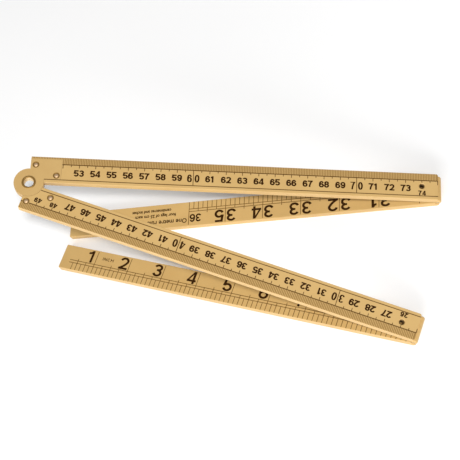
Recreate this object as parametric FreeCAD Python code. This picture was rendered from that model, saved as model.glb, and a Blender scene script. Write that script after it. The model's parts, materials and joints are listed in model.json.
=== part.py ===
import FreeCAD
import Part

import math
import os

# Four-fold plastic metre rule, all lengths in millimetres and angles in degrees.
#
# Every piece is drawn first in the "open rule" frame, where the rule lies
# straight: x is the distance along the centimetre scale (0 to 1000), y runs
# from the graduated edge (y = 0) to the plain edge (y = -WIDTH), and z = 0 is
# the centimetre face with the inch face at z = -THICKNESS.
# The legs are then turned about their own hinge axes into the half-folded
# stance and the whole rule is stood on its two outer legs.

# Driving dimensions of the legs
RULE_LENGTH = 1000.0
LEG_LENGTH = RULE_LENGTH / 4.0
WIDTH = 17.0
THICKNESS = 4.5
BUTT_GAP = 0.1
END_ROUND = 0.5
INNER_HINGE_CORNER = 1.2
OUTER_HINGE_CORNER = 2.2
EDGE_ROUND = 0.25

# Stance: opening between the two middle legs, and between each outer leg and
# the middle leg it folds under
ARCH_OPENING = 17.0
HINGE_OPENING = 20.0

# Arch joint, whose axis is square to the faces
ARCH_X = 500.0
ARCH_Y = -17.4
ARCH_END_GAP = 0.1
DISC_RADIUS = 9.2
DISC_CLEARANCE = 0.15
LEAF_LENGTH = 19.3
LEAF_TOP_MARGIN = 1.5
LEAF_LOW_MARGIN = 15.0
LEAF_THICKNESS = 2.2
LEAF_SEAM = 0.08
LEAF_CORNER = 0.8

# Hollow eyelet on the arch axis
EYELET_HOLE = 2.95
EYELET_BARREL = 3.55
EYELET_FLANGE = 4.35
EYELET_CROWN = 0.3
EYELET_SINK = 0.5
EYELET_RUN = 0.05

# Solid rivets that fix the arch leaves: a domed button in a shallow rimmed dish
RIVET_SHANK = 1.2
RIVET_HEAD = 2.1
RIVET_HEAD_SINK = 0.4
RIVET_RIM = 0.15
RIVET_DISH_DEPTH = 0.25
RIVET_BUTTON = 1.45
RIVET_BUTTON_RISE = 0.25
RIVET_TAIL = 1.9
RIVET_TAIL_DEPTH = 0.7
RIVET_NEAR = (3.3, -5.4)
RIVET_FAR = (16.4, -12.2)

# End hinges, whose axes run across the width at the inch face
HINGE_OFFSET = 0.5
HINGE_DROP = 0.15
KNUCKLE_RADIUS = 2.0
KNUCKLE_CLEARANCE = 0.12
KNUCKLE_COUNT = 5
KNUCKLE_GAP = 0.1
KNUCKLE_ROUND = 1.0
PIN_RADIUS = 0.8
PIN_RUN = 0.04
PIN_INSET = 0.3
HINGE_LEAF_REACH = 14.5
HINGE_LEAF_THICKNESS = 1.0
HINGE_LEAF_DEPTH = 0.8
HINGE_LEAF_SIDE = 1.5

# Tubular rivets that fix the hinge leaves
TUBE_FROM_MARK = 10.0
TUBE_Y = -8.4
TUBE_RADIUS = 1.2
TUBE_HOLE = 0.85
TUBE_FLARE = 1.7
TUBE_FLARE_DEPTH = 0.6
TUBE_SINK = 0.4
TUBE_DISH = 2.1

AXIS_X = FreeCAD.Vector(1, 0, 0)
AXIS_Y = FreeCAD.Vector(0, 1, 0)
AXIS_Z = FreeCAD.Vector(0, 0, 1)
MARK_25 = LEG_LENGTH
MARK_75 = 3.0 * LEG_LENGTH
HINGE_Z = -THICKNESS - HINGE_DROP


def vec(x, y, z):
    return FreeCAD.Vector(x, y, z)


def box(x0, x1, y0, y1, z0, z1):
    return Part.makeBox(x1 - x0, y1 - y0, z1 - z0, vec(x0, y0, z0))


def rod(radius, base, length, direction):
    return Part.makeCylinder(radius, length, base, direction)


def turned(profile, x, y):
    """Solid of revolution about the vertical line through (x, y).

    Each corner is (radius, z), reached by a straight side, or (radius, z, via radius, via z),
    reached by an arc through the second pair."""
    edges = []
    start = vec(profile[-1][0], 0, profile[-1][1])
    for corner in profile:
        end = vec(corner[0], 0, corner[1])
        if len(corner) == 4:
            edges.append(Part.Arc(start, vec(corner[2], 0, corner[3]), end).toShape())
        else:
            edges.append(Part.makeLine(start, end))
        start = end
    face = Part.Face(Part.Wire(edges))
    solid = face.revolve(vec(0, 0, 0), AXIS_Z, 360)
    solid.translate(vec(x, y, 0))
    return solid


def mirror_x(shape, x):
    """The same piece on the other side of the plane at distance x along the rule."""
    return shape.mirror(vec(x, 0, 0), AXIS_X)


def edges_along(shape, direction, test):
    """Straight edges parallel to a direction whose middle point passes a test."""
    found = []
    for edge in shape.Edges:
        if not isinstance(edge.Curve, Part.Line):
            continue
        if abs(abs(edge.Curve.Direction.dot(direction)) - 1.0) > 1e-6:
            continue
        if test(edge.CenterOfMass):
            found.append(edge)
    return found


# Legs

def leg_blank(free_end, hinge_end, hinge_corner):
    """Rectangular bar between two ends, with the corners of both ends rounded in plan."""
    bar = box(min(free_end, hinge_end), max(free_end, hinge_end), -WIDTH, 0, -THICKNESS, 0)
    for end, radius in ((free_end, END_ROUND), (hinge_end, hinge_corner)):
        bar = bar.makeFillet(radius, edges_along(bar, AXIS_Z, lambda p: abs(p.x - end) < 0.01))
    long_edges = edges_along(bar, AXIS_X, lambda p: True)
    return bar.makeFillet(EDGE_ROUND, long_edges)


def leaf_outline(z0, z1, seam):
    """Plan shape of the arch leaf of the 50 to 75 cm leg: a plate running into a disc."""
    plate = box(
        ARCH_X + ARCH_END_GAP - seam, ARCH_X + LEAF_LENGTH + seam,
        -LEAF_LOW_MARGIN - seam, -LEAF_TOP_MARGIN + seam, z0, z1)
    corners = edges_along(plate, AXIS_Z, lambda p: p.x > ARCH_X + 10.0)
    plate = plate.makeFillet(LEAF_CORNER, corners)
    disc = rod(DISC_RADIUS + seam, vec(ARCH_X, ARCH_Y, z0), z1 - z0, AXIS_Z)
    return plate.fuse(disc).removeSplitter()


def disc_room(z0, z1):
    """Space swept by the disc of the opposite leaf as the arch turns."""
    return rod(DISC_RADIUS + DISC_CLEARANCE, vec(ARCH_X, ARCH_Y, z0), z1 - z0, AXIS_Z)


def upper_split():
    return -LEAF_THICKNESS


def lower_split():
    return -THICKNESS + LEAF_THICKNESS


def rivet_places():
    return [RIVET_NEAR, RIVET_FAR]


def rivet_solid(x, y):
    """Solid rivet: dished head with a domed button, flush countersunk tail on the inch face."""
    rim = RIVET_HEAD - RIVET_RIM
    profile = [
        (0, RIVET_BUTTON_RISE),
        (RIVET_BUTTON, -RIVET_DISH_DEPTH, 0.62 * RIVET_BUTTON, 0.55 * RIVET_BUTTON_RISE),
        (rim, 0.0, rim - 0.1, -0.6 * RIVET_DISH_DEPTH),
        (RIVET_HEAD, 0.0),
        (RIVET_HEAD, -RIVET_HEAD_SINK),
        (RIVET_SHANK, -RIVET_HEAD_SINK),
        (RIVET_SHANK, -THICKNESS + RIVET_TAIL_DEPTH),
        (RIVET_TAIL, -THICKNESS),
        (0, -THICKNESS),
    ]
    return turned(profile, x, y)


def rivet_room(x, y):
    """Stepped hole that a solid rivet fills."""
    profile = [
        (0, 1.0),
        (RIVET_HEAD, 1.0),
        (RIVET_HEAD, -RIVET_HEAD_SINK),
        (RIVET_SHANK, -RIVET_HEAD_SINK),
        (RIVET_SHANK, -THICKNESS + RIVET_TAIL_DEPTH),
        (RIVET_TAIL, -THICKNESS),
        (RIVET_TAIL, -THICKNESS - 1.0),
        (0, -THICKNESS - 1.0),
    ]
    return turned(profile, x, y)


def tube_solid(x, y):
    """Tubular rivet flared into the dish of both faces."""
    top = -TUBE_SINK
    low = -THICKNESS + TUBE_SINK
    lip = TUBE_FLARE - 0.2
    bend = 0.5 * (TUBE_HOLE + lip)
    profile = [
        (TUBE_HOLE, top - TUBE_FLARE_DEPTH),
        (lip, top, bend - 0.1, top - 0.3 * TUBE_FLARE_DEPTH),
        (TUBE_FLARE, top),
        (TUBE_RADIUS, top - TUBE_FLARE_DEPTH),
        (TUBE_RADIUS, low + TUBE_FLARE_DEPTH),
        (TUBE_FLARE, low),
        (lip, low),
        (TUBE_HOLE, low + TUBE_FLARE_DEPTH, bend - 0.1, low + 0.3 * TUBE_FLARE_DEPTH),
    ]
    return turned(profile, x, y)


def tube_room(x, y):
    """Hole with a dish in each face that a tubular rivet is flared into."""
    top = -TUBE_SINK
    low = -THICKNESS + TUBE_SINK
    slope = (TUBE_DISH - TUBE_FLARE) / TUBE_SINK
    profile = [
        (0, 1.0),
        (TUBE_DISH + slope, 1.0),
        (TUBE_FLARE, top),
        (TUBE_RADIUS, top - TUBE_FLARE_DEPTH),
        (TUBE_RADIUS, low + TUBE_FLARE_DEPTH),
        (TUBE_FLARE, low),
        (TUBE_DISH + slope, -THICKNESS - 1.0),
        (0, -THICKNESS - 1.0),
    ]
    return turned(profile, x, y)


def hinge_axis_x():
    """Axis of the hinge at the 75 cm mark."""
    return MARK_75 + HINGE_OFFSET


def hinge_rod(radius, y0, y1):
    return rod(radius, vec(hinge_axis_x(), y0, HINGE_Z), y1 - y0, AXIS_Y)


def hinge_plate(x0, x1, seam):
    """Flat of a hinge leaf, let into the leg just above the inch face."""
    z0 = -THICKNESS + HINGE_LEAF_DEPTH
    z1 = z0 + HINGE_LEAF_THICKNESS
    return box(x0, x1, -WIDTH + HINGE_LEAF_SIDE - seam, -HINGE_LEAF_SIDE + seam, z0, z1)


def knuckle_spans(first):
    """Widths taken by every second knuckle, starting from the first or the second."""
    pitch = WIDTH / KNUCKLE_COUNT
    spans = []
    for index in range(first, KNUCKLE_COUNT, 2):
        y1 = -index * pitch
        spans.append((y1 - pitch, y1))
    return spans


def rounded_knuckle(low, high):
    """One knuckle; the first and the last are rounded where they face out."""
    knuckle = hinge_rod(KNUCKLE_RADIUS, low, high)
    outer = [e for e in knuckle.Edges if isinstance(e.Curve, Part.Circle)
             and abs(e.CenterOfMass.y + WIDTH / 2.0) > WIDTH / 2.0 - KNUCKLE_GAP]
    if outer:
        knuckle = knuckle.makeFillet(KNUCKLE_ROUND, outer)
    return knuckle


def hinge_leaf(first, x_far, hole_radius):
    """Hinge leaf of the 75 cm hinge: plate and its own knuckles."""
    axis_x = hinge_axis_x()
    plate = hinge_plate(min(axis_x, x_far), max(axis_x, x_far), 0.0)
    plate = plate.cut(hinge_rod(KNUCKLE_RADIUS + KNUCKLE_CLEARANCE, -WIDTH, 0))
    leaf = plate
    for y0, y1 in knuckle_spans(first):
        low = y0 + KNUCKLE_GAP / 2.0
        high = y1 - KNUCKLE_GAP / 2.0
        knuckle = rounded_knuckle(low, high)
        strap = hinge_plate(min(axis_x, x_far), max(axis_x, x_far), 1.5)
        strap = strap.common(hinge_rod(2.0 * KNUCKLE_RADIUS, low, high))
        side = max(low, -WIDTH + HINGE_LEAF_SIDE)
        other = min(high, -HINGE_LEAF_SIDE)
        strap = strap.common(box(axis_x - 6, axis_x + 6, side, other, -THICKNESS, 0))
        leaf = leaf.fuse(knuckle).fuse(strap)
    leaf = leaf.cut(hinge_rod(hole_radius, -WIDTH - 1, 1))
    return leaf.removeSplitter()


def cut_for_hinge(leg, x_tube, x_far):
    """Cove, leaf slot and rivet hole in the end of a leg at the 75 cm hinge."""
    leg = leg.cut(hinge_rod(KNUCKLE_RADIUS + KNUCKLE_CLEARANCE, -WIDTH - 1, 1))
    axis_x = hinge_axis_x()
    leg = leg.cut(hinge_plate(min(axis_x, x_far), max(axis_x, x_far), 0.0))
    return leg.cut(tube_room(x_tube, TUBE_Y))


def inner_leg():
    """Leg from 50 to 75 cm, without the arch recess."""
    blank = leg_blank(ARCH_X + ARCH_END_GAP, MARK_75 - BUTT_GAP, INNER_HINGE_CORNER)
    return cut_for_hinge(blank, MARK_75 - TUBE_FROM_MARK, MARK_75 - HINGE_LEAF_REACH)


def outer_leg():
    """Leg from 75 to 100 cm."""
    blank = leg_blank(RULE_LENGTH, MARK_75 + BUTT_GAP, OUTER_HINGE_CORNER)
    return cut_for_hinge(blank, MARK_75 + TUBE_FROM_MARK, MARK_75 + HINGE_LEAF_REACH)


def leg_50_to_75():
    leg = inner_leg()
    leg = leg.cut(leaf_outline(upper_split(), 1.0, LEAF_SEAM))
    leg = leg.cut(disc_room(-THICKNESS - 1.0, upper_split()))
    for dx, y in rivet_places():
        leg = leg.cut(rivet_room(ARCH_X + dx, y))
    return leg


def leg_25_to_50():
    leg = mirror_x(inner_leg(), ARCH_X)
    leg = leg.cut(mirror_x(leaf_outline(-THICKNESS - 1.0, lower_split(), LEAF_SEAM), ARCH_X))
    leg = leg.cut(disc_room(lower_split(), 1.0))
    for dx, y in rivet_places():
        leg = leg.cut(rivet_room(ARCH_X - dx, y))
    return leg


def leg_75_to_100():
    return outer_leg()


def leg_0_to_25():
    return mirror_x(outer_leg(), ARCH_X)


# Arch joint

def arch_leaf_upper():
    leaf = leaf_outline(upper_split(), 0.0, 0.0)
    leaf = leaf.cut(rod(EYELET_BARREL, vec(ARCH_X, ARCH_Y, -THICKNESS), 2 * THICKNESS, AXIS_Z))
    for dx, y in rivet_places():
        leaf = leaf.cut(rivet_room(ARCH_X + dx, y))
    return leaf


def arch_leaf_lower():
    leaf = mirror_x(leaf_outline(-THICKNESS, lower_split(), 0.0), ARCH_X)
    barrel_room = rod(
        EYELET_BARREL + EYELET_RUN, vec(ARCH_X, ARCH_Y, -2 * THICKNESS), 3 * THICKNESS, AXIS_Z)
    flange_room = rod(
        EYELET_FLANGE + 2 * EYELET_RUN, vec(ARCH_X, ARCH_Y, -THICKNESS - 1.0),
        1.0 + EYELET_SINK, AXIS_Z)
    leaf = leaf.cut(barrel_room).cut(flange_room)
    for dx, y in rivet_places():
        leaf = leaf.cut(rivet_room(ARCH_X - dx, y))
    return leaf


def arch_eyelet():
    """Hollow eyelet: low rolled crown on the centimetre face, sunk flange on the inch face."""
    sink = -THICKNESS + EYELET_SINK - EYELET_RUN
    low = -THICKNESS + 0.05
    middle = 0.5 * (EYELET_HOLE + EYELET_FLANGE)
    profile = [
        (EYELET_HOLE, -EYELET_CROWN),
        (middle, EYELET_CROWN, EYELET_HOLE + 0.2, 0.45 * EYELET_CROWN),
        (EYELET_FLANGE, 0.0, EYELET_FLANGE - 0.25, 0.7 * EYELET_CROWN),
        (EYELET_BARREL, 0.0),
        (EYELET_BARREL, sink),
        (EYELET_FLANGE, sink),
        (EYELET_FLANGE, low),
        (EYELET_HOLE + 0.3, low),
        (EYELET_HOLE, low + 0.3),
    ]
    return turned(profile, ARCH_X, ARCH_Y)


def upper_leaf_rivet_near():
    return rivet_solid(ARCH_X + RIVET_NEAR[0], RIVET_NEAR[1])


def upper_leaf_rivet_far():
    return rivet_solid(ARCH_X + RIVET_FAR[0], RIVET_FAR[1])


def lower_leaf_rivet_near():
    return rivet_solid(ARCH_X - RIVET_NEAR[0], RIVET_NEAR[1])


def lower_leaf_rivet_far():
    return rivet_solid(ARCH_X - RIVET_FAR[0], RIVET_FAR[1])


# End hinges

def hinge_leaf_75_inner():
    return hinge_leaf(0, MARK_75 - HINGE_LEAF_REACH, PIN_RADIUS).cut(
        tube_room(MARK_75 - TUBE_FROM_MARK, TUBE_Y))


def hinge_leaf_75_outer():
    return hinge_leaf(1, MARK_75 + HINGE_LEAF_REACH, PIN_RADIUS + PIN_RUN).cut(
        tube_room(MARK_75 + TUBE_FROM_MARK, TUBE_Y))


def hinge_pin_75():
    return hinge_rod(PIN_RADIUS, -WIDTH + PIN_INSET, -PIN_INSET)


def hinge_rivet_75_inner():
    return tube_solid(MARK_75 - TUBE_FROM_MARK, TUBE_Y)


def hinge_rivet_75_outer():
    return tube_solid(MARK_75 + TUBE_FROM_MARK, TUBE_Y)


def hinge_leaf_25_inner():
    return mirror_x(hinge_leaf_75_inner(), ARCH_X)


def hinge_leaf_25_outer():
    return mirror_x(hinge_leaf_75_outer(), ARCH_X)


def hinge_pin_25():
    return mirror_x(hinge_pin_75(), ARCH_X)


def hinge_rivet_25_inner():
    return mirror_x(hinge_rivet_75_inner(), ARCH_X)


def hinge_rivet_25_outer():
    return mirror_x(hinge_rivet_75_outer(), ARCH_X)


# Stance of each leg, as placements applied to the open rule

def turn_about(point, axis, angle):
    return FreeCAD.Placement(vec(0, 0, 0), FreeCAD.Rotation(axis, angle), point)


def fold_arch():
    """The 25 to 50 cm leg swings round the eyelet until it lies beside the other."""
    return turn_about(vec(ARCH_X, ARCH_Y, 0), AXIS_Z, 180.0 - ARCH_OPENING)


def fold_75():
    return turn_about(vec(MARK_75 + HINGE_OFFSET, 0, HINGE_Z), AXIS_Y, 180.0 - HINGE_OPENING)


def fold_25():
    return turn_about(vec(MARK_25 - HINGE_OFFSET, 0, HINGE_Z), AXIS_Y, HINGE_OPENING - 180.0)


def stand():
    """Arch on top: bisector of the middle legs along +x, tilted down until both outer legs rest."""
    tilt = math.degrees(math.atan(
        math.tan(math.radians(HINGE_OPENING)) / math.cos(math.radians(ARCH_OPENING / 2.0))))
    centre = FreeCAD.Placement(vec(-ARCH_X, -ARCH_Y, 0), FreeCAD.Rotation())
    spread = FreeCAD.Placement(vec(0, 0, 0), FreeCAD.Rotation(AXIS_Z, ARCH_OPENING / 2.0))
    lean = FreeCAD.Placement(vec(0, 0, 0), FreeCAD.Rotation(AXIS_Y, tilt))
    return lean.multiply(spread).multiply(centre)


BODIES = {
    "leg_50_to_75": [
        leg_50_to_75, arch_leaf_upper, arch_eyelet, upper_leaf_rivet_near,
        upper_leaf_rivet_far, hinge_leaf_75_inner, hinge_rivet_75_inner, hinge_pin_75,
    ],
    "leg_25_to_50": [
        leg_25_to_50, arch_leaf_lower, lower_leaf_rivet_near, lower_leaf_rivet_far,
        hinge_leaf_25_inner, hinge_rivet_25_inner, hinge_pin_25,
    ],
    "leg_75_to_100": [leg_75_to_100, hinge_leaf_75_outer, hinge_rivet_75_outer],
    "leg_0_to_25": [leg_0_to_25, hinge_leaf_25_outer, hinge_rivet_25_outer],
}


def leg_places():
    """Placement of each body, before the rule is centred over its own footprint."""
    base = stand()
    return {
        "leg_50_to_75": base,
        "leg_75_to_100": base.multiply(fold_75()),
        "leg_25_to_50": base.multiply(fold_arch()),
        "leg_0_to_25": base.multiply(fold_arch()).multiply(fold_25()),
    }


def placed_shapes():
    """Every piece in its place, by node name."""
    places = leg_places()
    shapes = {}
    for body, makers in BODIES.items():
        for maker in makers:
            shape = maker()
            if shape.ShapeType == "Compound" and len(shape.Solids) == 1:
                shape = shape.Solids[0]
            shape.Placement = places[body].multiply(shape.Placement)
            shapes[maker.__name__] = shape
    return shapes


def footprint_shift(shapes):
    """Move that puts the origin at the middle of the footprint, on the floor."""
    whole = Part.makeCompound(list(shapes.values())).optimalBoundingBox()
    x = (whole.XMin + whole.XMax) / 2.0
    y = (whole.YMin + whole.YMax) / 2.0
    print("size", round(whole.XLength, 3), round(whole.YLength, 3), round(whole.ZLength, 3))
    return vec(-x, -y, -whole.ZMin)


def main():
    os.makedirs("parts", exist_ok=True)
    shapes = placed_shapes()
    shift = footprint_shift(shapes)
    print("shift", round(shift.x, 4), round(shift.y, 4), round(shift.z, 4))
    for name, shape in shapes.items():
        shape.translate(shift)
        shape.exportStep("parts/" + name + ".step")
        print(name, "solids", len(shape.Solids), "valid", shape.isValid(),
              "volume", round(shape.Volume, 2))


main()
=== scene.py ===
import json
import math

import bpy
from mathutils import Matrix, Vector
from mathutils.geometry import delaunay_2d_cdt


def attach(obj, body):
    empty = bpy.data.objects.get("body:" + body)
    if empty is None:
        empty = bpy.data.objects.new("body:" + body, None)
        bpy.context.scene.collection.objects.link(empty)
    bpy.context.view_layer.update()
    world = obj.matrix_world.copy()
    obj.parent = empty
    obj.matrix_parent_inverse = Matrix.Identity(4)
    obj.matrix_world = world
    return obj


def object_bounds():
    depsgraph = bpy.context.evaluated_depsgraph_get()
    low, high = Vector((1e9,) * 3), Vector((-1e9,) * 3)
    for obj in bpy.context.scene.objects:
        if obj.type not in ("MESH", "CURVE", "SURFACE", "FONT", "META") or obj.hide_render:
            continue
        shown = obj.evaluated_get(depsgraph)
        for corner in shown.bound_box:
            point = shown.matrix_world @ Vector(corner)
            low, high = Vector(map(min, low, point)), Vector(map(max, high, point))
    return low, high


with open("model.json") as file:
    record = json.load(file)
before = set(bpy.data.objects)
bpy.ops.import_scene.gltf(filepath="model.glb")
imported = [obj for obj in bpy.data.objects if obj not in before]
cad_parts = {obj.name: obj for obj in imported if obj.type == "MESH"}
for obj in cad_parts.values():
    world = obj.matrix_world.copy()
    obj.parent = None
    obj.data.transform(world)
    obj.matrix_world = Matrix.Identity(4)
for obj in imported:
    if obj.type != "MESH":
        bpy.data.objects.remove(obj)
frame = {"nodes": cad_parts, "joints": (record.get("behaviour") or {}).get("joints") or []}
CAD_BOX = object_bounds()

# A folding metre rule. Sizes are in millimetres where a name says nothing else, and MM turns them
# into Blender's metres. A place on the rule is given as it is when the rule lies open: the distance
# along the scale from 0 to 1000, and the distance from the graduated edge, from 0 to WIDTH.

MM = 0.001
INCH = 25.4
WIDTH = 17.0
THICKNESS = 4.5
MARK_25 = 250.0
MARK_50 = 500.0
MARK_75 = 750.0
RULE_LENGTH = 1000.0
HALF_CM = 5
CM = 10
TEN_CM = 100

# The centimetre face: tick and line widths, where ticks end, and the places and sizes of the numbers,
# as the height of their feet (LOW), figure height and width, gap, and upright and level stroke widths.
# Beside the rivets and the arch the numbers are small.
TICK = 0.42
MM_TICK = 0.68
BASE_LINE = 0.55
FINE_LINE = 0.48
MM_TICK_END = 4.6
MM_BASELINE = 4.75
HALF_CM_END = 6.1
CM_END = 6.8
LONG_TICK_END = 7.3
LONG_TICKS = (MARK_25, MARK_50 + 20.0, MARK_75)
LOW_LINE = 14.97
CM_FIGURE_LOW = 12.3
CM_FIGURE_TALL = 4.25
CM_FIGURE_WIDE = 3.1
CM_FIGURE_GAP = 0.05
CM_FIGURE_THICK = 1.05
CM_FIGURE_THIN = 0.85
FIGURE_FROM_LEG_END = 4.0
FIGURE_FROM_LEAF = 2.0
TENS_LOW = 12.65
TENS_TALL = 5.0
TENS_WIDE = 3.0
TENS_GAP = 0.8
TENS_THICK = 1.05
TENS_THIN = 0.56
SMALL_TALL = 3.1
SMALL_WIDE = 2.2
SMALL_GAP = 0.25
SMALL_THICK = 0.8
SMALL_THIN = 0.62
BESIDE_RIVET = (24, 26, 74, 76)
BESIDE_RIVET_LOW = 14.6
BESIDE_ARCH = (48, 49)
BESIDE_ARCH_LOW = 9.7

# The inch face: the same, with EIGHTHS ticks to the inch. Its lines start at INCH_START, its ticks at
# FIRST_EIGHTH, and the scale stops LINES_FROM_LEAF short of the lower leaf.
EIGHTHS = 8
FIRST_EIGHTH = 3
LINES_FROM_LEAF = 1.0
INCH_TICK = 0.42
INCH_LINE = 0.42
INCH_LOW_LINE = 5.1
INCH_HIGH_LINE = 6.9
INCH_START = 6.35
INCH_END = 36
HALF_INCH_END = 8.4
INCH_LINE_END = 16.2
INCH_FIGURE_LOW = 7.55
INCH_FIGURE_TALL = 8.6
INCH_FIGURE_WIDE = 6.5
INCH_FIGURE_GAP = 0.95
SINGLE_INCH_GAP = 1.1
INCH_FIGURE_THICK = 1.65
INCH_FIGURE_THIN = 1.4
LAST_INCH_LOW = 8.8
LAST_INCH_TALL = 5.6
LAST_INCH_WIDE = 3.85
LAST_INCH_GAP = 0.45
LAST_INCH_FROM_LINE = 0.6
LAST_INCH_THICK = 1.05
UNIT_LEFT = 30.0
UNIT_LOW = 11.0
UNIT_TALL = 2.1
UNIT_WIDE = 2.05
UNIT_GAP = 0.55
UNIT_STROKE = 0.38
# Inch numbers with a rivet or the arch in their way stand small: (shift along the scale, low edge)
CROWDED_INCHES = {10: (0.0, 11.4), 20: (5.0, 7.6), 29: (0.0, 11.4), 30: (3.6, 7.6)}
CROWDED_LINE_END = 10.9

# A 1 is this much of the width of the other figures
NARROW_ONE = 0.74

# Arch leaf, disc, eyelet, rivets and rounded corners, as in the frame. DISC_ROOM is the cut-out that a
# disc lies in, and beside the upper leaf the millimetre ticks end at SHORT_TICK_END.
ARCH_EDGE = 17.4
DISC_RADIUS = 9.2
DISC_ROOM = 9.35
LEAF_REACH = 19.3
SHORT_TICK_END = 1.25
ARCH_RIVETS = ((3.3, 5.4), (16.4, 12.2))
ARCH_RIVET_RADIUS = 2.1
HINGE_RIVET_FROM_MARK = 10.0
HINGE_RIVET_EDGE = 8.4
HINGE_RIVET_RADIUS = 2.1
HINGE_RIVET_FLARE = 1.7
EYELET_HOLE = 2.95
EYELET_FLANGE = 4.35
INNER_HINGE_CORNER = 1.2
OUTER_HINGE_CORNER = 2.2

# Bare plastic round rivets and discs, at hinge ends, past lines and ticks, and along the graduated edge
INK_CLEARANCE = 0.1
HINGE_END_GAP = 0.1
LINE_END_GAP = 0.15
TICK_END_GAP = 0.1
EDGE_GAP = 0.12

# How far a place may be off by rounding
ROUNDING = 0.01

# Label past the inch scale: words, letter size, left end along the scale, base line from the edge
LABEL_LINES = (
    ("One metre rule", 4.4, 915.6, 11.4),
    ("four legs of 25 cm each", 3.1, 923.6, 6.9),
    ("centimetres and inches", 3.0, 927.1, 3.4),
)
LABEL_CURVE_STEPS = 4

# The label's strokes grow by LABEL_BOLD each way, once triangles under SLIVER square millimetres are gone
LABEL_BOLD = 0.1
SLIVER = 0.0002

# Ink lies on the plastic as a very thin layer, the millimetre ticks under the other lines
INK_RISE = 0.03
MM_TICK_RISE = 0.02
INK_SINK = 0.02

# delaunay_2d_cdt: the output type for triangles inside the polygons, and when points count as one
TRIANGLES_INSIDE = 1
SAME_POINT = 1e-5

# Hinge axes, measured from the marks they stand at
HINGE_OFFSET = 0.5
HINGE_DROP = 0.15
FOLD_75_DEG = 160.0
FOLD_25_DEG = 160.0

# Camera
LENS_MM = 99.7
SENSOR_MM = 36.0
CAMERA_DISTANCE = 0.7737
CAMERA_AZIMUTH_DEG = 45.18
CAMERA_ELEVATION_DEG = 58.51
CAMERA_ROLL_DEG = -38.09
CAMERA_AIM = (0.0088, -0.0044, 0.045)

# Stage
WHITE = (1.0, 1.0, 1.0)
WORLD_STRENGTH = 0.29
FLOOR_HALF_WIDTH = 3.0
FLOOR_WHITE = (0.97, 0.97, 0.97)
FLOOR_ROUGHNESS = 0.8

# Colours
TAN_DARK = (0.56, 0.355, 0.125)
TAN_LIGHT = (0.596, 0.386, 0.141)
LEAF_TAN_DARK = (0.53, 0.333, 0.119)
LEAF_TAN_LIGHT = (0.56, 0.362, 0.133)
STEEL_DARK = (0.45, 0.44, 0.42)
STEEL_LIGHT = (0.6, 0.58, 0.56)
# Painted light: the pale brass makes the eyelet's bore look lit.
PAINTED_LIGHT_BRASS = (0.86, 0.66, 0.36)
BRIGHT_BRASS = (0.62, 0.43, 0.25)
# Painted shade: the shaded flange of the eyelet and the dark rims of the arch rivets.
PAINTED_SHADE_BRASS = (0.31, 0.175, 0.045)
BROWN_BRASS = (0.18, 0.105, 0.03)
# Painted shade inside the hinge rivets: dark round the hole and nearly black in it.
PAINTED_WALL_SHADE = (0.12, 0.07, 0.025)
PAINTED_HOLE_SHADE = (0.02, 0.014, 0.008)

# Where the colour of the metal changes, from the middle of each fitting, between painted light, painted
# shade and plain metal
EYELET_EDGE = EYELET_HOLE + 0.12
ARCH_RIVET_PLAIN = 1.1
ARCH_RIVET_RIM = 1.4
HINGE_RIVET_HOLE = 0.7
HINGE_RIVET_WALL = 1.1


# Frames of the four legs, from the joints

def joint(name):
    for entry in frame["joints"]:
        if entry["name"] == name:
            return Vector(entry["pos_m"]), Vector(entry["axis"]).normalized()
    raise KeyError(name)


def leg_matrix(x_axis, y_axis, z_axis, point, at):
    """Matrix from the open rule's coordinates, in metres, to the leg at rest.

    point is where the open rule's position at lies now; both are in metres."""
    turn = Matrix((x_axis, y_axis, z_axis)).transposed().to_4x4()
    return Matrix.Translation(point) @ turn @ Matrix.Translation(-Vector(at))


def leg_matrices():
    arch_point, normal = joint("arch_joint")
    point_75, axis_75 = joint("hinge_75")
    point_25, axis_25 = joint("hinge_25")
    arch_at = Vector((MARK_50, -ARCH_EDGE, -THICKNESS / 2.0)) * MM
    hinge_z = -THICKNESS - HINGE_DROP
    at_75 = Vector((MARK_75 + HINGE_OFFSET, -WIDTH / 2.0, hinge_z)) * MM
    at_25 = Vector((MARK_25 - HINGE_OFFSET, -WIDTH / 2.0, hinge_z)) * MM
    middle_75 = leg_matrix(axis_75.cross(normal), axis_75, normal, arch_point, arch_at)
    middle_25 = leg_matrix((-axis_25).cross(normal), -axis_25, normal, arch_point, arch_at)
    turned = {}
    for name, middle, point, axis, fold, at in (
            ("leg_75_to_100", middle_75, point_75, axis_75, FOLD_75_DEG, at_75),
            ("leg_0_to_25", middle_25, point_25, axis_25, FOLD_25_DEG, at_25)):
        spin = Matrix.Rotation(math.radians(fold), 3, axis)
        x_axis, y_axis, z_axis = (spin @ middle.to_3x3().col[i] for i in range(3))
        turned[name] = leg_matrix(x_axis, y_axis, z_axis, point, at)
    turned["leg_50_to_75"] = middle_75
    turned["leg_25_to_50"] = middle_25
    return turned


LEGS = leg_matrices()


def cm_face(leg):
    """Local u runs along the scale, v towards the graduated edge, h out of the centimetre face."""
    return LEGS[leg]


def inch_face(leg):
    """Local u runs along the scale, v away from the graduated edge, h out of the inch face."""
    flip = Matrix.Diagonal((1.0, -1.0, -1.0, 1.0))
    return LEGS[leg] @ Matrix.Translation((0.0, 0.0, -THICKNESS * MM)) @ flip


# Flat shapes: polygons joined into one outline and raised into a thin solid

def rectangle(u0, u1, v0, v1):
    return [(u0, v0), (u1, v0), (u1, v1), (u0, v1)]


def anticlockwise(polygon):
    area = sum(a[0] * b[1] - b[0] * a[1] for a, b in zip(polygon, [*polygon[1:], polygon[0]]))
    return polygon if area > 0.0 else polygon[::-1]


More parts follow.
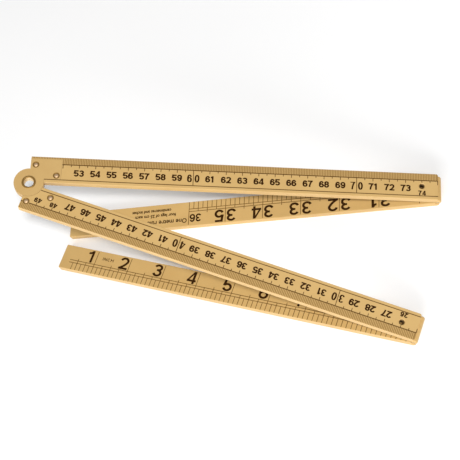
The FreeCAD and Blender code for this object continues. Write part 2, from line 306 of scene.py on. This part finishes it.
def joined(polygons, holes=()):
    """Corner points and triangles of the union of some polygons, less the holes."""
    points = []
    faces = []
    for polygon in map(anticlockwise, [*polygons, *holes]):
        first = len(points)
        points.extend(Vector(p) for p in polygon)
        faces.append(list(range(first, first + len(polygon))))
    out = delaunay_2d_cdt(points, [], faces, TRIANGLES_INSIDE, SAME_POINT, True)
    inked = len(polygons)
    triangles = [tri for tri, source in zip(out[2], out[5]) if source and max(source) < inked]
    used = sorted({i for tri in triangles for i in tri})
    renumbered = {old: new for new, old in enumerate(used)}
    return ([tuple(out[0][i]) for i in used],
            [[renumbered[i] for i in tri] for tri in triangles])


def solid_from(flat_parts, low, high):
    """Vertices and faces of thin closed solids from low to high; each part is (points, triangles)."""
    verts = []
    faces = []
    for points, triangles in flat_parts:
        base = len(verts)
        count = len(points)
        verts.extend((u * MM, v * MM, low * MM) for u, v in points)
        verts.extend((u * MM, v * MM, high * MM) for u, v in points)
        edges = {}
        for tri in triangles:
            a, b, c = (points[i] for i in tri)
            if (b[0] - a[0]) * (c[1] - a[1]) - (b[1] - a[1]) * (c[0] - a[0]) < 0:
                tri = tri[::-1]
            faces.append([base + count + i for i in tri])
            faces.append([base + i for i in reversed(tri)])
            for i in range(len(tri)):
                edges[(tri[i], tri[(i + 1) % len(tri)])] = True
        for i, j in edges:
            if (j, i) not in edges:
                faces.append([base + i, base + j, base + count + j, base + count + i])
    return verts, faces


def ink_piece(name, flat_parts, place, body, material, rise=INK_RISE):
    mesh = bpy.data.meshes.new(name)
    verts, faces = solid_from(flat_parts, -INK_SINK, rise)
    mesh.from_pydata(verts, [], faces)
    mesh.update()
    mesh.materials.append(material)
    piece = bpy.data.objects.new(name, mesh)
    bpy.context.scene.collection.objects.link(piece)
    piece.matrix_world = place
    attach(piece, body)


# Figures, drawn as strokes in a box one unit high

def ribbon(line, stroke):
    """Polygons along a line of points; stroke gives the width where it runs level, 0, to upright, 1."""
    sides = []
    for i, point in enumerate(line):
        before = line[max(i - 1, 0)]
        after = line[min(i + 1, len(line) - 1)]
        if line[0] == line[-1] and i in (0, len(line) - 1):
            before, after = line[-2], line[1]
        du, dv = after[0] - before[0], after[1] - before[1]
        length = math.hypot(du, dv)
        half = stroke(abs(dv) / length) / 2.0
        nu, nv = -dv / length * half, du / length * half
        sides.append(((point[0] + nu, point[1] + nv), (point[0] - nu, point[1] - nv)))
    return [[b0, b1, a1, a0] for (a0, b0), (a1, b1) in zip(sides, sides[1:])]


def arc(cu, cv, ru, rv, start, stop, steps=20):
    """Points along an ellipse about (cu, cv), from one angle in degrees to another."""
    points = []
    for i in range(steps + 1):
        angle = math.radians(start + (stop - start) * i / steps)
        points.append((cu + ru * math.cos(angle), cv + rv * math.sin(angle)))
    if abs(stop - start) == 360:
        points[-1] = points[0]
    return points


def bend(p, q, r, steps=10):
    """Quadratic curve from p to r that leaves towards q."""
    points = []
    for i in range(steps + 1):
        t = i / steps
        a, b, c = (1 - t) ** 2, 2 * t * (1 - t), t * t
        points.append((a * p[0] + b * q[0] + c * r[0], a * p[1] + b * q[1] + c * r[1]))
    return points


def figure_lines(figure, w, k, h):
    """Centre lines of one figure of width w; k and h are the upright and level stroke widths.

    All other numbers are parts of the box."""
    left, right, low, top = k / 2, w - k / 2, h / 2, 1 - h / 2
    mid = w / 2
    reach = right - mid
    waist = 0.53
    upper = (waist + top) / 2
    lower = (waist + low) / 2
    six_high = 0.63
    if figure == "0":
        return [arc(mid, 0.5, reach, 0.5 - h / 2, 0, 360, steps=36)]
    if figure == "1":
        stem = 0.62 * w
        return [[(stem, 0), (stem, 1)], bend((0.12 * w, 0.76), (stem * 0.8, 0.77), (stem - k / 4, 0.93))]
    if figure == "2":
        bowl = arc(mid, 0.69, reach, top - 0.69, 172, -35)
        return [bowl + bend(bowl[-1], (mid + 0.1 * w, 0.3), (left * 1.05, h * 0.6), steps=6)[1:],
                [(0, low), (w, low)]]
    if figure == "3":
        return [arc(mid, upper, reach * 0.94, top - upper, 165, -90) + [(mid - 0.12 * w, waist)],
                [(mid - 0.12 * w, waist)] + arc(mid, lower, reach, lower - low, 90, -165)]
    if figure == "4":
        stem = 0.72 * w
        bar = 0.25
        return [[(stem, 0), (stem, 1)], [(0, bar), (w, bar)],
                [(stem - k * 0.3, 1 - h * 0.3), (left * 0.7, bar)]]
    if figure == "5":
        return [[(0.2 * w, top), (0.93 * w, top)], [(0.24 * w, 1), (0.14 * w, 0.42)],
                arc(mid, 0.33, reach, 0.33 - low, 140, -160)]
    if figure == "6":
        return [arc(mid, six_high / 2 + 0.01, reach, six_high / 2 + 0.01 - low, 0, 360, steps=32),
                arc(mid, 0.5, reach, top - 0.5, 195, 28)]
    if figure == "7":
        return [[(0, top), (w, top)],
                bend((right - k * 0.1, 1 - h * 0.6), (0.42 * w, 0.55), (0.36 * w, 0))]
    if figure == "8":
        return [arc(mid, upper, reach * 0.9, top - upper, 0, 360, steps=30),
                arc(mid, lower, reach, lower - low, 0, 360, steps=30)]
    if figure == "9":
        return [[(w - u, 1 - v) for u, v in line] for line in figure_lines("6", w, k, h)]
    if figure == "I":
        return [[(mid, 0), (mid, 1)]]
    if figure == "N":
        return [[(left, 0), (left, 1)], [(left, 1), (right, 0)], [(right, 0), (right, 1)]]
    if figure == "C":
        return [arc(mid, 0.5, reach, 0.5 - h / 2, 40, 320, steps=28)]
    if figure == "H":
        return [[(left, 0), (left, 1)], [(left, 0.5), (right, 0.5)], [(right, 0), (right, 1)]]
    raise KeyError(figure)


# Strokes lighter than the rest, by figure and line
STROKE_WEIGHTS = {("4", 2): 0.7, ("7", 1): 0.95}

# Figures already drawn, so that each is worked out once
FIGURES = {}


def figure_polygons(figure, wide, tall, thick, thin):
    """Polygons of a figure in millimetres with its low left corner at the origin."""
    k, h = thick / tall, thin / tall
    polygons = []
    for index, line in enumerate(figure_lines(figure, wide / tall, k, h)):
        weight = STROKE_WEIGHTS.get((figure, index), 1.0)
        polygons.extend(ribbon(line, lambda upright: weight * (h + (k - h) * upright)))
    return [[(u * tall, v * tall) for u, v in polygon] for polygon in polygons]


def figure_at(figure, u, v, wide, tall, thick, thin=None):
    """One figure with its low left corner at (u, v); level strokes are as thick as upright ones
    unless thin says otherwise."""
    key = (figure, wide, tall, thick, thin)
    if key not in FIGURES:
        FIGURES[key] = joined(figure_polygons(figure, wide, tall, thick, thin or thick))
    points, triangles = FIGURES[key]
    return [(p[0] + u, p[1] + v) for p in points], triangles


def figure_width(figure, wide):
    return wide * NARROW_ONE if figure == "1" else wide


def number_from(text, left, v, wide, tall, gap, thick, thin):
    """A number that starts at left, with its feet at v."""
    parts = []
    for figure in text:
        width = figure_width(figure, wide)
        parts.append(figure_at(figure, left, v, width, tall, thick, thin))
        left += width + gap
    return parts


def number_width(text, wide, gap):
    return sum(figure_width(figure, wide) for figure in text) + (len(text) - 1) * gap


def centred_number(text, u, v, wide, tall, gap, thick, thin):
    return number_from(text, u - number_width(text, wide, gap) / 2, v, wide, tall, gap, thick, thin)


def small_number(text, u, v):
    return centred_number(text, u, v, SMALL_WIDE, SMALL_TALL, SMALL_GAP, SMALL_THICK, SMALL_THIN)


def split_number(text, u, v, wide, tall, gap, thick, thin):
    """A number with a line through it at u: the last figure stands right of the line."""
    left = u - gap - number_width(text[:-1], wide, gap)
    return (number_from(text[:-1], left, v, wide, tall, gap, thick, thin)
            + number_from(text[-1], u + gap, v, wide, tall, gap, thick, thin))


# Scales

def disc_edge(w, radius):
    """Distance from the arch mark at which a circle about the arch ends, on the line at w."""
    return math.sqrt(radius ** 2 - (ARCH_EDGE - w) ** 2)


def holes_in(leg_range, side):
    """Outlines of what interrupts the print of one leg.

    side is 1 where v grows away from the graduated edge, and -1 where it grows towards it."""
    start, stop = leg_range
    circles = []
    for mark in (MARK_25, MARK_75):
        for place in (mark - HINGE_RIVET_FROM_MARK, mark + HINGE_RIVET_FROM_MARK):
            if start < place < stop:
                circles.append((place, HINGE_RIVET_EDGE, HINGE_RIVET_RADIUS))
    if MARK_50 in leg_range:
        towards = 1.0 if start == MARK_50 else -1.0
        circles.append((MARK_50, ARCH_EDGE, DISC_ROOM))
        for along, w in ARCH_RIVETS:
            circles.append((MARK_50 + towards * along, w, ARCH_RIVET_RADIUS))
    outlines = []
    for place, w, radius in circles:
        reach = radius + INK_CLEARANCE
        outlines.append(arc(place, side * w, reach, reach, 0, 360, steps=48)[:-1])
    for end, inwards in ((start, 1.0), (stop, -1.0)):
        if end in (MARK_25, MARK_75):
            outlines += cut_corners(end + inwards * HINGE_END_GAP, inwards, side, MARK_50 in leg_range)
    return outlines


def cut_corners(end, inwards, side, middle_leg):
    """The bits outside the two rounded corners of a leg's hinge end."""
    radius = INNER_HINGE_CORNER if middle_leg else OUTER_HINGE_CORNER
    outlines = []
    for edge, across in ((0.0, 1.0), (WIDTH, -1.0)):
        round_off = arc(end + inwards * radius, edge + across * radius,
                        -inwards * radius, -across * radius, 0, 90, steps=12)
        outside = [(end + inwards * radius, edge - across), (end - inwards, edge - across),
                   (end - inwards, edge + across * radius)]
        outlines.append([(u, side * v) for u, v in round_off + outside])
    return outlines


def tick(place, leg_range, width, low, high):
    """Upright bar centred on a place, or beside it where the leg ends."""
    room = width / 2 + TICK_END_GAP
    inside = min(max(place, leg_range[0] + room), leg_range[1] - room)
    return rectangle(inside - width / 2, inside + width / 2, low, high)


def level_line(start, stop, v, width):
    """Bar along the scale, just short of the leg's ends."""
    return rectangle(start + LINE_END_GAP, stop - LINE_END_GAP, v - width / 2, v + width / 2)


def upper_leaf(leg_range):
    return leg_range[0] == MARK_50


def lower_leaf(leg_range):
    return leg_range[1] == MARK_50


def mm_ticks(leg_range):
    """Millimetre ticks of one leg's centimetre face; only their tips show beside the upper leaf."""
    polygons = []
    for mark in range(int(leg_range[0]), int(leg_range[1]) + 1):
        if mark == MARK_50:
            continue
        beside_leaf = upper_leaf(leg_range) and mark - MARK_50 < LEAF_REACH
        end = SHORT_TICK_END if beside_leaf else MM_TICK_END
        polygons.append(tick(mark, leg_range, MM_TICK, -end, -EDGE_GAP))
    return polygons


def cm_lines(leg_range):
    """Centimetre and half-centimetre ticks, and the two lines along the scale."""
    start, stop = leg_range
    first, last = start, stop
    line_first, line_last = start, stop
    if upper_leaf(leg_range):
        first = MARK_50 + LEAF_REACH
        line_first = MARK_50 + disc_edge(LOW_LINE, DISC_RADIUS)
    if lower_leaf(leg_range):
        line_last = MARK_50 - disc_edge(LOW_LINE, DISC_ROOM)
    polygons = [
        level_line(first, last, -MM_BASELINE, BASE_LINE),
        level_line(line_first, line_last, -LOW_LINE, FINE_LINE),
    ]
    for mark in range(int(start), int(stop) + 1, HALF_CM):
        if not first <= mark <= last or mark == MARK_50:
            continue
        end = CM_END if mark % CM == 0 else HALF_CM_END
        if mark in LONG_TICKS:
            end = LONG_TICK_END
        if mark % TEN_CM == 0 and start < mark < stop:
            end = LOW_LINE
        polygons.append(tick(mark, leg_range, TICK, -end, -MM_BASELINE))
    return polygons


def cm_figures(leg_range):
    """Centimetre numbers; the tens stand either side of their own lines."""
    parts = []
    start, stop = leg_range
    for number in range(int(start / CM) + 1, int(stop / CM) + 1):
        mark = float(number * CM)
        if not start + FIGURE_FROM_LEG_END <= mark <= stop - FIGURE_FROM_LEG_END:
            continue
        if upper_leaf(leg_range) and mark < MARK_50 + LEAF_REACH + FIGURE_FROM_LEAF:
            continue
        text = str(number)
        if mark % TEN_CM == 0:
            parts += split_number(text, mark, -TENS_LOW, TENS_WIDE, TENS_TALL, TENS_GAP,
                                  TENS_THICK, TENS_THIN)
        elif number in BESIDE_RIVET:
            parts += small_number(text, mark, -BESIDE_RIVET_LOW)
        elif number in BESIDE_ARCH:
            parts += small_number(text, mark, -BESIDE_ARCH_LOW)
        else:
            parts += centred_number(text, mark, -CM_FIGURE_LOW, CM_FIGURE_WIDE, CM_FIGURE_TALL,
                                    CM_FIGURE_GAP, CM_FIGURE_THICK, CM_FIGURE_THIN)
    return parts


def inch_range(leg_range):
    """Where the inch scale of a leg starts and stops; the lower leaf has none."""
    start = max(leg_range[0], INCH_START)
    stop = min(leg_range[1], INCH_END * INCH)
    if lower_leaf(leg_range):
        stop = MARK_50 - LEAF_REACH - LINES_FROM_LEAF
    return start, stop


def inch_lines(leg_range):
    """The two lines along the inch scale, with eighth, quarter, half and whole inch ticks."""
    start, stop = inch_range(leg_range)
    polygons = [level_line(start, stop, line, INCH_LINE) for line in (INCH_LOW_LINE, INCH_HIGH_LINE)]
    for step in range(FIRST_EIGHTH, EIGHTHS * INCH_END + 1):
        place = step * INCH / EIGHTHS
        if not start - ROUNDING <= place <= stop + ROUNDING:
            continue
        end = INCH_LOW_LINE
        if step % 2 == 0:
            end = INCH_HIGH_LINE
        if step % 4 == 0:
            end = HALF_INCH_END
        if step % EIGHTHS == 0:
            shift = CROWDED_INCHES.get(step // EIGHTHS, (None, None))[0]
            end = CROWDED_LINE_END if shift == 0.0 else INCH_LINE_END
        polygons.append(tick(place, leg_range, INCH_TICK, EDGE_GAP, end))
    return polygons


def inch_figures(leg_range):
    """Inch numbers: one figure stands left of its line, two stand either side, the last is small."""
    parts = []
    start, stop = inch_range(leg_range)
    for number in range(1, INCH_END + 1):
        mark = number * INCH
        if not start <= mark <= stop + ROUNDING:
            continue
        text = str(number)
        if number in CROWDED_INCHES:
            shift, low = CROWDED_INCHES[number]
            parts += small_number(text, mark + shift, low)
        elif number == INCH_END:
            centre = mark - LAST_INCH_FROM_LINE - LAST_INCH_WIDE - LAST_INCH_GAP / 2
            parts += centred_number(text, centre, LAST_INCH_LOW, LAST_INCH_WIDE, LAST_INCH_TALL,
                                    LAST_INCH_GAP, LAST_INCH_THICK, LAST_INCH_THICK)
        elif len(text) == 1:
            left = mark - SINGLE_INCH_GAP - INCH_FIGURE_WIDE
            parts.append(figure_at(text, left, INCH_FIGURE_LOW, INCH_FIGURE_WIDE, INCH_FIGURE_TALL,
                                   INCH_FIGURE_THICK, INCH_FIGURE_THIN))
        else:
            parts += split_number(text, mark, INCH_FIGURE_LOW, INCH_FIGURE_WIDE, INCH_FIGURE_TALL,
                                  INCH_FIGURE_GAP, INCH_FIGURE_THICK, INCH_FIGURE_THIN)
    if leg_range[0] == 0.0:
        parts += unit_name()
    return parts


def unit_name():
    """The word after the first inch."""
    parts = []
    left = UNIT_LEFT
    for letter in "INCH":
        width = UNIT_STROKE if letter == "I" else UNIT_WIDE
        parts.append(figure_at(letter, left, UNIT_LOW, width, UNIT_TALL, UNIT_STROKE))
        left += width + UNIT_GAP
    return parts


# Materials

def new_material(name):
    material = bpy.data.materials.new(name)
    material.use_nodes = True
    nodes = material.node_tree.nodes
    return material, nodes, material.node_tree.links, nodes["Principled BSDF"]


def noise(nodes, links, source, scale, detail):
    texture = nodes.new("ShaderNodeTexNoise")
    texture.inputs["Scale"].default_value = scale
    texture.inputs["Detail"].default_value = detail
    links.new(source, texture.inputs["Vector"])
    return texture.outputs["Fac"]


def ramp(nodes, links, source, stops):
    """Colour by value; stops lists (value, colour) from low to high."""
    node = nodes.new("ShaderNodeValToRGB")
    while len(node.color_ramp.elements) < len(stops):
        node.color_ramp.elements.new(0.5)
    for element, (place, colour) in zip(node.color_ramp.elements, stops):
        element.position = place
        element.color = (*colour, 1.0)
    links.new(source, node.inputs["Fac"])
    return node.outputs["Color"]


def value_range(nodes, links, source, low, high):
    node = nodes.new("ShaderNodeMapRange")
    node.inputs["To Min"].default_value = low
    node.inputs["To Max"].default_value = high
    links.new(source, node.inputs["Value"])
    return node.outputs["Result"]


def bump(nodes, links, source, strength, distance):
    node = nodes.new("ShaderNodeBump")
    node.inputs["Strength"].default_value = strength
    node.inputs["Distance"].default_value = distance
    links.new(source, node.inputs["Height"])
    return node.outputs["Normal"]


def plastic_material(name, dark, light):
    """Moulded tan plastic: faint clouding, fine satin grain."""
    material, nodes, links, shader = new_material(name)
    coords = nodes.new("ShaderNodeTexCoord").outputs["Object"]
    clouds = noise(nodes, links, coords, scale=60.0, detail=3.0)
    grain = noise(nodes, links, coords, scale=2600.0, detail=2.0)
    links.new(ramp(nodes, links, clouds, [(0.3, dark), (0.7, light)]), shader.inputs["Base Color"])
    links.new(value_range(nodes, links, grain, low=0.36, high=0.5), shader.inputs["Roughness"])
    links.new(bump(nodes, links, grain, strength=0.25, distance=0.00004), shader.inputs["Normal"])
    return material


def ink_material(name, dark, light):
    """Matt printing ink, slightly uneven."""
    material, nodes, links, shader = new_material(name)
    coords = nodes.new("ShaderNodeTexCoord").outputs["Object"]
    wear = noise(nodes, links, coords, scale=1500.0, detail=3.0)
    links.new(ramp(nodes, links, wear, [(0.35, dark), (0.75, light)]), shader.inputs["Base Color"])
    links.new(value_range(nodes, links, wear, low=0.6, high=0.8), shader.inputs["Roughness"])
    shader.inputs["Specular IOR Level"].default_value = 0.05
    return material


def distance_from_axis(nodes, links, point, axis):
    """Distance in metres of the shaded point from a fixed line through point along axis."""
    coords = nodes.new("ShaderNodeTexCoord").outputs["Object"]
    offset = nodes.new("ShaderNodeVectorMath")
    offset.operation = "SUBTRACT"
    offset.inputs[1].default_value = point
    links.new(coords, offset.inputs[0])
    across = nodes.new("ShaderNodeVectorMath")
    across.operation = "CROSS_PRODUCT"
    across.inputs[1].default_value = axis
    links.new(offset.outputs["Vector"], across.inputs[0])
    length = nodes.new("ShaderNodeVectorMath")
    length.operation = "LENGTH"
    links.new(across.outputs["Vector"], length.inputs[0])
    return length.outputs["Value"]


def ringed_metal(name, leg, along, w, rings, roughness):
    """Turned metal whose colour follows the distance from its own axis, in rings that paint light and
    shade onto it.

    along and w place the axis on the rule; rings lists (radius, colour) from the middle outwards."""
    material, nodes, links, shader = new_material(name)
    place = LEGS[leg]
    point = place @ (Vector((along, -w, 0.0)) * MM)
    radius = distance_from_axis(nodes, links, point, place.to_3x3().col[2].normalized())
    reach = rings[-1][0]
    scaled = nodes.new("ShaderNodeMapRange")
    scaled.inputs["From Max"].default_value = reach * MM
    links.new(radius, scaled.inputs["Value"])
    stops = [(r / reach, colour) for r, colour in rings]
    links.new(ramp(nodes, links, scaled.outputs["Result"], stops), shader.inputs["Base Color"])
    coords = nodes.new("ShaderNodeTexCoord").outputs["Object"]
    marks = noise(nodes, links, coords, scale=1200.0, detail=4.0)
    shader.inputs["Metallic"].default_value = 0.7
    links.new(value_range(nodes, links, marks, roughness - 0.08, roughness + 0.1),
              shader.inputs["Roughness"])
    links.new(bump(nodes, links, marks, strength=0.15, distance=0.00003), shader.inputs["Normal"])
    return material


def metal_material(name, dark, light, roughness):
    """Bare metal with fine handling marks."""
    material, nodes, links, shader = new_material(name)
    coords = nodes.new("ShaderNodeTexCoord").outputs["Object"]
    marks = noise(nodes, links, coords, scale=900.0, detail=4.0)
    links.new(ramp(nodes, links, marks, [(0.3, dark), (0.7, light)]), shader.inputs["Base Color"])
    shader.inputs["Metallic"].default_value = 1.0
    links.new(value_range(nodes, links, marks, roughness - 0.06, roughness + 0.1),
              shader.inputs["Roughness"])
    links.new(bump(nodes, links, marks, strength=0.15, distance=0.00003), shader.inputs["Normal"])
    return material


def floor_material():
    material, _, _, shader = new_material("floor_white")
    shader.inputs["Base Color"].default_value = (*FLOOR_WHITE, 1.0)
    shader.inputs["Roughness"].default_value = FLOOR_ROUGHNESS
    return material


PLASTIC = plastic_material("tan_plastic", TAN_DARK, TAN_LIGHT)
LEAF_PLASTIC = plastic_material("tan_plastic_leaf", LEAF_TAN_DARK, LEAF_TAN_LIGHT)
INK = ink_material("printing_ink", dark=(0.03, 0.011, 0.0015), light=(0.045, 0.017, 0.003))
FINE_INK = ink_material("thin_line_ink", dark=(0.085, 0.041, 0.01), light=(0.11, 0.055, 0.015))
INCH_LINE_INK = ink_material("inch_line_ink", dark=(0.135, 0.07, 0.019), light=(0.165, 0.088, 0.026))
TICK_INK = ink_material("millimetre_ink", dark=(0.3, 0.176, 0.058), light=(0.33, 0.199, 0.068))
STEEL = metal_material("pin_steel", STEEL_DARK, STEEL_LIGHT, roughness=0.3)


def eyelet_material():
    """Flange in painted shade round a bore in painted light."""
    rings = [
        (EYELET_HOLE, PAINTED_LIGHT_BRASS),
        (EYELET_EDGE, PAINTED_SHADE_BRASS),
        (EYELET_FLANGE, PAINTED_SHADE_BRASS),
    ]
    return ringed_metal("eyelet_brass", "leg_50_to_75", MARK_50, ARCH_EDGE, rings, roughness=0.46)


def arch_rivet_material(node):
    """Rivet head in plain brass in the middle, with its rim in painted shade."""
    along, w = ARCH_RIVETS[1 if node.endswith("far") else 0]
    leg = "leg_50_to_75" if node.startswith("upper") else "leg_25_to_50"
    towards = 1.0 if node.startswith("upper") else -1.0
    rings = [
        (0.0, BRIGHT_BRASS),
        (ARCH_RIVET_PLAIN, BRIGHT_BRASS),
        (ARCH_RIVET_RIM, PAINTED_SHADE_BRASS),
        (ARCH_RIVET_RADIUS, PAINTED_SHADE_BRASS),
    ]
    return ringed_metal(node + "_brass", leg, MARK_50 + towards * along, w, rings, roughness=0.55)


def hinge_rivet_material(node):
    """Tubular rivet with painted shade: nearly black in its hole and dark round it, brown on its flare.
    """
    mark = MARK_75 if "75" in node else MARK_25
    outwards = 1.0 if "75" in node else -1.0
    if node.endswith("inner"):
        leg = "leg_50_to_75" if "75" in node else "leg_25_to_50"
        along = mark - outwards * HINGE_RIVET_FROM_MARK
    else:
        leg = "leg_75_to_100" if "75" in node else "leg_0_to_25"
        along = mark + outwards * HINGE_RIVET_FROM_MARK
    rings = [
        (HINGE_RIVET_HOLE, PAINTED_HOLE_SHADE),
        (HINGE_RIVET_WALL, PAINTED_WALL_SHADE),
        (HINGE_RIVET_FLARE, BROWN_BRASS),
    ]
    return ringed_metal(node + "_brass", leg, along, HINGE_RIVET_EDGE, rings, roughness=0.4)


def finish_for(node):
    """Material of a CAD node, by its name."""
    if node.startswith("leg_") or node.startswith("hinge_leaf"):
        return PLASTIC
    if node.startswith("arch_leaf"):
        return LEAF_PLASTIC
    if node == "arch_eyelet":
        return eyelet_material()
    if node.startswith("hinge_rivet"):
        return hinge_rivet_material(node)
    if node.startswith("hinge_pin"):
        return STEEL
    return arch_rivet_material(node)


def dress_frame():
    for name, node in frame["nodes"].items():
        material = finish_for(name)
        if not node.material_slots:
            node.data.materials.append(material)
        for slot in node.material_slots:
            slot.material = material


# Scales on every leg

LEG_RANGES = {
    "leg_0_to_25": (0.0, MARK_25),
    "leg_25_to_50": (MARK_25, MARK_50),
    "leg_50_to_75": (MARK_50, MARK_75),
    "leg_75_to_100": (MARK_75, RULE_LENGTH),
}


def print_scales():
    for leg, leg_range in LEG_RANGES.items():
        holes = holes_in(leg_range, -1.0)
        ticks = [joined(mm_ticks(leg_range), holes)]
        lines = [joined(cm_lines(leg_range), holes)]
        ink_piece(leg + "_mm_ticks", ticks, cm_face(leg), leg, TICK_INK, MM_TICK_RISE)
        ink_piece(leg + "_cm_lines", lines, cm_face(leg), leg, FINE_INK)
        ink_piece(leg + "_cm_figures", cm_figures(leg_range), cm_face(leg), leg, INK)
        lines = [joined(inch_lines(leg_range), holes_in(leg_range, 1.0))]
        ink_piece(leg + "_inch_lines", lines, inch_face(leg), leg, INCH_LINE_INK)
        ink_piece(leg + "_inch_figures", inch_figures(leg_range), inch_face(leg), leg, INK)


def letter_triangles(words, size):
    """Triangles of a line of text in the built-in font, in millimetres, a list for each outline."""
    curve = bpy.data.curves.new("writer", "FONT")
    curve.body = words
    curve.size = size
    curve.resolution_u = LABEL_CURVE_STEPS
    writer = bpy.data.objects.new("writer", curve)
    bpy.context.scene.collection.objects.link(writer)
    bpy.context.view_layer.update()
    written = writer.evaluated_get(bpy.context.evaluated_depsgraph_get())
    mesh = bpy.data.meshes.new_from_object(written)

    # Triangles that share a corner belong to one outline, known by the corner that leads it
    leader = list(range(len(mesh.vertices)))

    def leader_of(i):
        while leader[i] != i:
            i = leader[i]
        return i

    for face in mesh.polygons:
        for i in face.vertices:
            leader[leader_of(i)] = leader_of(face.vertices[0])
    letters = {}
    for face in mesh.polygons:
        triangle = [tuple(mesh.vertices[i].co)[:2] for i in face.vertices]
        if face.area > SLIVER:
            letters.setdefault(leader_of(face.vertices[0]), []).append(triangle)
    bpy.data.objects.remove(writer)
    bpy.data.curves.remove(curve)
    bpy.data.meshes.remove(mesh)
    return list(letters.values())


def bold(letter):
    """One letter with every stroke thickened, by joining copies moved a little each way."""
    copies = []
    for across, up in ((0, 0), (1, 0), (-1, 0), (0, 1), (0, -1)):
        copies += [[(u + across * LABEL_BOLD, v + up * LABEL_BOLD) for u, v in triangle]
                   for triangle in letter]
    return joined(copies)


def print_label():
    """Three plain lines of description past the end of the inch scale."""
    leg = "leg_75_to_100"
    for index, (words, size, left, low) in enumerate(LABEL_LINES):
        letters = [bold(letter) for letter in letter_triangles(words, size)]
        place = inch_face(leg) @ Matrix.Translation(Vector((left, low, 0.0)) * MM)
        ink_piece(f"{leg}_label_{index + 1}", letters, place, leg, INK)


# Stage

def add_floor():
    mesh = bpy.data.meshes.new("floor")
    half = FLOOR_HALF_WIDTH
    mesh.from_pydata([(-half, -half, 0), (half, -half, 0), (half, half, 0), (-half, half, 0)], [],
                     [(0, 1, 2, 3)])
    mesh.materials.append(floor_material())
    floor = bpy.data.objects.new("floor", mesh)
    bpy.context.scene.collection.objects.link(floor)
    floor.location.z = CAD_BOX[0][2]


def add_light(name, azimuth, elevation, distance, width, height, watts):
    """White soft box that looks at the origin from an azimuth, with 0 looking along +Y."""
    light = bpy.data.lights.new(name, "AREA")
    light.shape = "RECTANGLE"
    light.size = width
    light.size_y = height
    light.energy = watts
    light.color = WHITE
    lamp = bpy.data.objects.new(name, light)
    direction = Vector((math.cos(math.radians(elevation)) * math.sin(math.radians(azimuth)),
                        -math.cos(math.radians(elevation)) * math.cos(math.radians(azimuth)),
                        math.sin(math.radians(elevation))))
    lamp.location = direction * distance
    lamp.rotation_euler = direction.to_track_quat("Z", "Y").to_euler()
    bpy.context.scene.collection.objects.link(lamp)


def add_world(strength, colour):
    world = bpy.data.worlds.new("studio")
    world.use_nodes = True
    background = world.node_tree.nodes["Background"]
    background.inputs["Color"].default_value = (*colour, 1.0)
    background.inputs["Strength"].default_value = strength
    bpy.context.scene.world = world


def add_camera():
    azimuth = math.radians(CAMERA_AZIMUTH_DEG)
    elevation = math.radians(CAMERA_ELEVATION_DEG)
    forward = Vector((-math.sin(azimuth) * math.cos(elevation),
                      math.cos(azimuth) * math.cos(elevation), -math.sin(elevation)))
    right = forward.cross(Vector((0, 0, 1))).normalized()
    up = right.cross(forward)
    level = Matrix((right, up, -forward)).transposed().to_4x4()
    camera = bpy.data.cameras.new("camera")
    camera.lens = LENS_MM
    camera.sensor_width = SENSOR_MM
    camera.clip_start = 0.05
    camera.clip_end = 20.0
    holder = bpy.data.objects.new("camera", camera)
    bpy.context.scene.collection.objects.link(holder)
    place = Matrix.Translation(Vector(CAMERA_AIM) - forward * CAMERA_DISTANCE)
    holder.matrix_world = place @ level @ Matrix.Rotation(math.radians(CAMERA_ROLL_DEG), 4, "Z")
    bpy.context.scene.camera = holder


dress_frame()
print_scales()
print_label()
add_floor()
add_world(WORLD_STRENGTH, WHITE)
add_light("front_box", azimuth=-8.0, elevation=23.0, distance=2.6, width=3.4, height=1.6, watts=64.0)
add_light("top_box", azimuth=51.0, elevation=59.5, distance=1.5, width=0.12, height=0.12, watts=15.5)
add_camera()
bpy.context.scene.view_settings.view_transform = "Standard"
